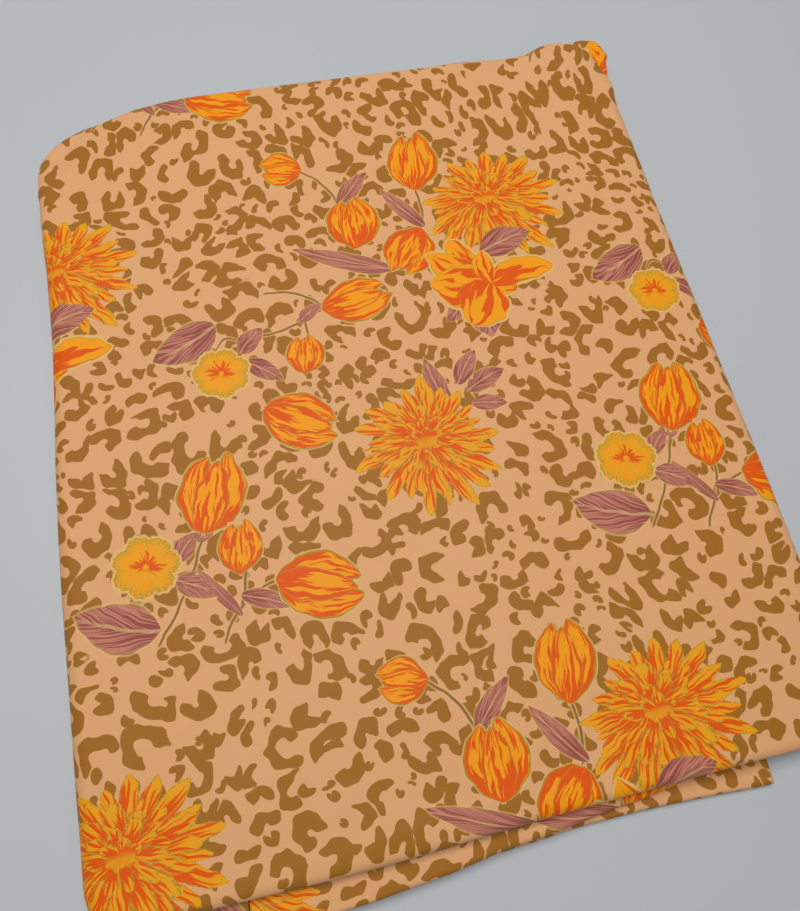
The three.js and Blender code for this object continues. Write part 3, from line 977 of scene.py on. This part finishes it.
def flowers(warp, under):
    x, y, row = motif("flowers", warp)
    is_open = number("GREATER_THAN", row, OPEN_FLOWER - 0.5)
    radius = place_sum("LENGTH", joined(x, y)) * 2
    turn = number("ARCTAN2", y, x)
    lobes = number("ABSOLUTE", number("SINE", turn * 3.5 + row))
    frill = number("SINE", turn * 27) * 0.018
    outer = (lobes**0.55) * 0.15 + 0.80 + frill
    edge = outer - radius
    rays = cloudy(joined(turn * 5.2, radius * 1.4 + row * 5), 1.0, 1.0)
    heart = soft_step(radius - (rays - 0.5) * 0.9, 0.36, 0.30) * soft_step(y + radius * 0.3, -0.04, 0.02)
    colour = painted(soft_step(rays, 0.40, 0.62), YELLOW, GOLD)
    colour = painted(heart * soft_step(radius, 0.06, 0.12), colour, RED)
    seams = soft_step(lobes, 0.30, 0.10) * soft_step(radius, 0.35, 0.7)
    speckle = soft_step(cloudy(joined(x, y), 36.0), 0.42, 0.56)
    frayed = number("MAXIMUM", seams * 0.6, soft_step(edge, 0.30, 0.05)) * speckle
    colour = painted(frayed * 0.85, colour, OLIVE)
    round_one = number("SUBTRACT", 1.0, is_open)
    under = painted(soft_step(edge, -0.10, -0.05) * round_one, under, HALO)
    under = painted(soft_step(edge, -0.01, 0.01) * round_one, under, colour)

    inside = depth = across = along = outline = None
    for k, petal in enumerate(OPEN_PETALS):
        turn_to = math.radians(petal["turn"])
        cos = math.cos(turn_to)
        sin = math.sin(turn_to)
        here_place = joined(x, y)
        t = place_sum("DOT_PRODUCT", here_place, (cos / petal["long"], sin / petal["long"], 0))
        off = place_sum("DOT_PRODUCT", here_place, (-sin, cos, 0))
        off = off - 0.10 * petal["long"] * number("SINE", t * 2.6)
        grown = number("MAXIMUM", t, 0.0) ** 0.55
        half = (number("MAXIMUM", 1 - t, 0.0) ** 0.7) * grown * (petal["wide"] / OPEN_PEAK)
        edge = half - number("ABSOLUTE", off) - number("MAXIMUM", number("MAXIMUM", t - 1, 0 - t), 0.0)
        here = number("GREATER_THAN", edge, 0.0)
        share = off / (half + 0.01) + 2.9 * k
        if inside is None:
            inside, depth, across, along, outline = here, edge, share, t, edge
        else:
            inside = number("MAXIMUM", inside, here)
            depth = mixed(here, depth, edge)
            across = mixed(here, across, share)
            along = mixed(here, along, t)
            outline = number("MAXIMUM", outline, edge)
    streaks = cloudy(joined(across * 2.4, along * 1.3), 1.0, 1.5)
    red = soft_step(streaks + soft_step(along, 0.6, 0.0) * 0.16, 0.56, 0.61)
    colour = painted(red, YELLOW, RED)
    colour = painted(soft_step(depth, 0.010, 0.003) * 0.6, colour, OLIVE)
    under = painted(soft_step(outline, -0.022, -0.012) * is_open, under, HALO)
    return painted(inside * is_open, under, colour)


def leaves(warp):
    x, y, row = motif("leaves", warp)
    t = x + 0.5
    y = y - (0.25 - x * x) * 0.30
    grown = number("MAXIMUM", t, 0.0) ** 0.65
    half = (number("MAXIMUM", 1 - t, 0.0) ** 0.9) * grown * 1.4
    away = number("ABSOLUTE", y)
    depth = half - away - number("MAXIMUM", number("ABSOLUTE", x) - 0.5, 0.0)
    streaks = cloudy(joined((t - away * 1.9) * 13 + row * 7.7, t * 1.6), 1.0, 1.0)
    darker = soft_step(t, 0.6, 0.0) * 0.09 + soft_step(away, 0.25, 0.0) * 0.07
    dark = soft_step(streaks + darker, 0.50, 0.60)
    colour = painted(dark, MAUVE, MAUVE_DEEP)
    vein = soft_step(away, 0.05, 0.02) * soft_step(t, 1.0, 0.6)
    colour = painted(vein * 0.6, colour, VEIN)
    colour = painted(soft_step(depth, 0.05, 0.01) * 0.45, colour, OLIVE)
    return colour, soft_step(depth, -0.01, 0.01), soft_step(depth, -0.06, -0.03), row


def stems(warp, under):
    x, y, row = motif("stems", warp)
    bow = 0.0
    for k, stem in enumerate(STEMS):
        bow = bow + number("COMPARE", row, k, 0.5) * stem["bow"]
    line = number("ABSOLUTE", y - bow * (1 - 4 * (x * x)))
    ends = soft_step(number("ABSOLUTE", x), 0.53, 0.49)
    under = painted(soft_step(line, 0.115, 0.09) * ends * 0.7, under, HALO)
    under = painted(soft_step(line, 0.08, 0.065) * ends * 0.4, under, OLIVE)
    return painted(soft_step(line, 0.048, 0.028) * ends, under, STEM)


# One open ring, bean or blob in each cell, as large as the cell's own inner circle and its room allow
def rosettes(place, lumps, size, thick, share, room_at=None):
    cells = cell_pattern(place, size)
    centre = Field(cells.outputs["Position"])
    turn, span, gap = parts(Field(cells.outputs["Color"]))
    dx, dy, _ = parts(place_sum("SUBTRACT", place, centre))
    circle = cell_pattern(place, size, "N_SPHERE_RADIUS")
    room = Field(circle.outputs["Radius"]) * (1.4 * size) - SPOT_GAP / 2
    if room_at is not None:
        room = number("MINIMUM", room, room_at(centre) - SPOT_GAP)
    angle = number("ARCTAN2", dy, dx) + turn * FULL_TURN
    oval = number("COSINE", angle * 2 + span * (2 * FULL_TURN)) * 0.16 + 1.08
    facing = number("COSINE", angle)
    reach = number("MINIMUM", room, (span * 0.25 + 0.42) * size)
    half = number("MINIMUM", reach * 0.62, thick)
    radius = place_sum("LENGTH", joined(dx, dy)) * oval
    ring = number("ABSOLUTE", radius - (reach - half)) - (half - facing * 0.5)
    opening = (facing - (gap * 0.75 + 0.1)) * reach
    away = number("SMOOTH_MAX", ring, opening, SPOT_ROUND)
    border = Field(cell_pattern(place, size, "DISTANCE_TO_EDGE").outputs["Distance"]) * size
    away = number("SMOOTH_MAX", away, SPOT_GAP / 2 - border, SPOT_ROUND) + lumps - SPOT_GROWN
    unlucky = number("GREATER_THAN", number("FRACT", turn * 7.31), share)
    left_out = number("MAXIMUM", unlucky, number("LESS_THAN", reach, SPOT_LEAST))
    return away + left_out * size


def large_spots(place, lumps=0.0):
    return rosettes(place, lumps, ROSETTE_CELL, ROSETTE_THICK, 1.0)


def spots(place):
    drift = cloudy(place, 0.012, colour=True)
    spread = place_sum("MULTIPLY_ADD", drift, (18, 18, 0), place)
    lumps = (cloudy(place, 0.14) - 0.5) * 3.6
    large = large_spots(spread, lumps)
    small = rosettes(spread, lumps * 0.3, DOT_CELL, DOT_THICK, DOT_SHARE, large_spots)
    return soft_step(number("MINIMUM", large, small), 0.25, -0.25)


def print_colour():
    flat = scaled(layer_place("cloth"), 1 / MM)
    mottle = cloudy(flat, 0.02, 2.0)
    colour = painted(mottle * 0.3, GROUND, GROUND_PALE)
    colour = painted(spots(flat), colour, SPOT)
    warp = place_sum("MULTIPLY_ADD", cloudy(flat, 0.11, colour=True), (0.06, 0.06, 0), (-0.03, -0.03, 0))
    colour = stems(warp, colour)
    leaf, shown, halo, row = leaves(warp)
    colour = painted(shown, painted(halo * 0.6, colour, HALO), leaf)
    colour = tulips(warp, colour)
    colour = dahlias(scaled(warp, 0.35), colour)
    colour = painted(shown * number("LESS_THAN", row, 0.5), colour, leaf)
    return flowers(scaled(warp, 0.5), colour)


# Fine plain weave and small soft creases
def weave_height():
    place = scaled(layer_place("cloth"), 1 / MM)
    x, y, _ = parts(place)
    threads = number("SINE", x * (FULL_TURN / THREAD)) * number("SINE", y * (FULL_TURN / THREAD))
    return threads * THREAD_HEIGHT + cloudy(place, 0.045, 1.0) * SOFT_HEIGHT


put(shader.inputs["Base Color"], print_colour())
bump = tree.nodes.new("ShaderNodeBump")
bump.inputs["Distance"].default_value = MM
put(bump.inputs["Height"], weave_height())
put(shader.inputs["Normal"], Field(bump.outputs[0]))
shader.inputs["Roughness"].default_value = 0.52
shader.inputs["Specular IOR Level"].default_value = 0.16
shader.inputs["Sheen Weight"].default_value = 0.05
shader.inputs["Sheen Roughness"].default_value = 0.4


# Each face gets its place in the nearest motif of a kind, with the motif's row as whole steps along X.
def add_motifs(mesh, name, rows, places):
    face_of = np.repeat(np.arange(len(mesh.polygons)), 4)
    middles = places.reshape(-1, 4, 2).mean(axis=1)
    nearest = np.full(len(middles), MOTIF_REACH)
    spots_here = np.tile(NO_MOTIF, (len(places), 1))
    for k, row in enumerate(rows):
        base = np.array(row["base"])
        way = np.array(row["tip"]) - base
        long = math.hypot(*way)
        side = np.array((-way[1], way[0])) / (long * row["wide"])
        own_frame = np.stack((way / long**2, side), axis=1)
        middle = base + way / 2
        shift = middle + np.round((middles - middle) / REPEAT) * REPEAT
        away = np.linalg.norm((middles - shift) @ own_frame, axis=1)
        closer = away < nearest
        nearest[closer] = away[closer]
        here = (places - shift[face_of]) @ own_frame + (MOTIF_STEP * k, 0)
        chosen = closer[face_of]
        spots_here[chosen] = here[chosen]
    layer = mesh.uv_layers.new(name=name)
    layer.data.foreach_set("uv", spots_here.ravel())


top = top_sheet()
make_piece("silk_top", top, ["top_panel"], material)
under = under_sheet()
make_piece("silk_under", under, ["under_panel"], material)
FOLDS = [
    ("silk_second_fold", "second_fold", SECOND_FOLD, FOLD_BACK, (-200, -300)),
    ("silk_bottom_fold", "bottom_fold", BOTTOM_FOLD, FOLD_BACK, (60, 200)),
    ("silk_inner_fold", "inner_fold", INNER_FOLD, FOLD_BACK, (-235, -137)),
    ("silk_far_upper_fold", "far_upper_fold", FAR_UPPER_FOLD, FAR_FOLD_BACK, (30, 60)),
    ("silk_far_lower_fold", "far_lower_fold", FAR_LOWER_FOLD, FAR_FOLD_BACK, (110, -90)),
]
for name, node, table, back, shift in FOLDS:
    sheet = fold_sheet(straight_stations(table, back), shift, FOLD_WAVE)
    make_piece(name, sheet, [node], material)
hidden = hidden_sheet()
make_piece("silk_hidden_layers", hidden, ["hidden_layers"], material)
tuck = fold_sheet(tuck_stations(), TUCK_PRINT, TUCK_WAVE)
make_piece("silk_corner_tuck", tuck, ["corner_tuck"], material)

floor_mesh = bpy.data.meshes.new("table")
corners = [(-TABLE, -TABLE, 0), (TABLE, -TABLE, 0), (TABLE, TABLE, 0), (-TABLE, TABLE, 0)]
floor_mesh.from_pydata(corners, [], [(0, 1, 2, 3)])
floor = bpy.data.objects.new("table", floor_mesh)
bpy.context.collection.objects.link(floor)
floor_material = bpy.data.materials.new("pale_table")
floor_material.use_nodes = True
floor_shader = floor_material.node_tree.nodes["Principled BSDF"]
floor_shader.inputs["Base Color"].default_value = TABLE_COLOUR
floor_shader.inputs["Roughness"].default_value = 0.5
floor_mesh.materials.append(floor_material)

world = bpy.data.worlds.new("studio")
world.use_nodes = True
world.node_tree.nodes["Background"].inputs["Color"].default_value = ROOM_COLOUR
world.node_tree.nodes["Background"].inputs["Strength"].default_value = ROOM_STRENGTH
bpy.context.scene.world = world
bpy.context.scene.view_settings.view_transform = "Standard"


def area_light(name, place, size, power, colour):
    light = bpy.data.lights.new(name, "AREA")
    light.shape = "RECTANGLE"
    light.size = size[0]
    light.size_y = size[1]
    light.energy = power
    light.color = colour
    lamp = bpy.data.objects.new(name, light)
    lamp.location = place
    lamp.rotation_euler = (-Vector(place)).to_track_quat("-Z", "Y").to_euler()
    bpy.context.collection.objects.link(lamp)


area_light("soft_light", (-0.12, 0.45, 2.1), (1.3, 1.3), 38.5, (1, 0.985, 0.965))

camera_data = bpy.data.cameras.new("camera")
camera_data.sensor_width = SENSOR
camera_data.lens = FOCAL_PIXELS / IMAGE_HEIGHT * SENSOR
camera_data.clip_start = 0.01
camera = bpy.data.objects.new("camera", camera_data)
camera_rows = zip(CAMERA_RIGHT, CAMERA_UP, CAMERA_BACK, [c * MM for c in CAMERA_AT])
camera.matrix_world = Matrix([*camera_rows, (0, 0, 0, 1)])
bpy.context.collection.objects.link(camera)
bpy.context.scene.camera = camera
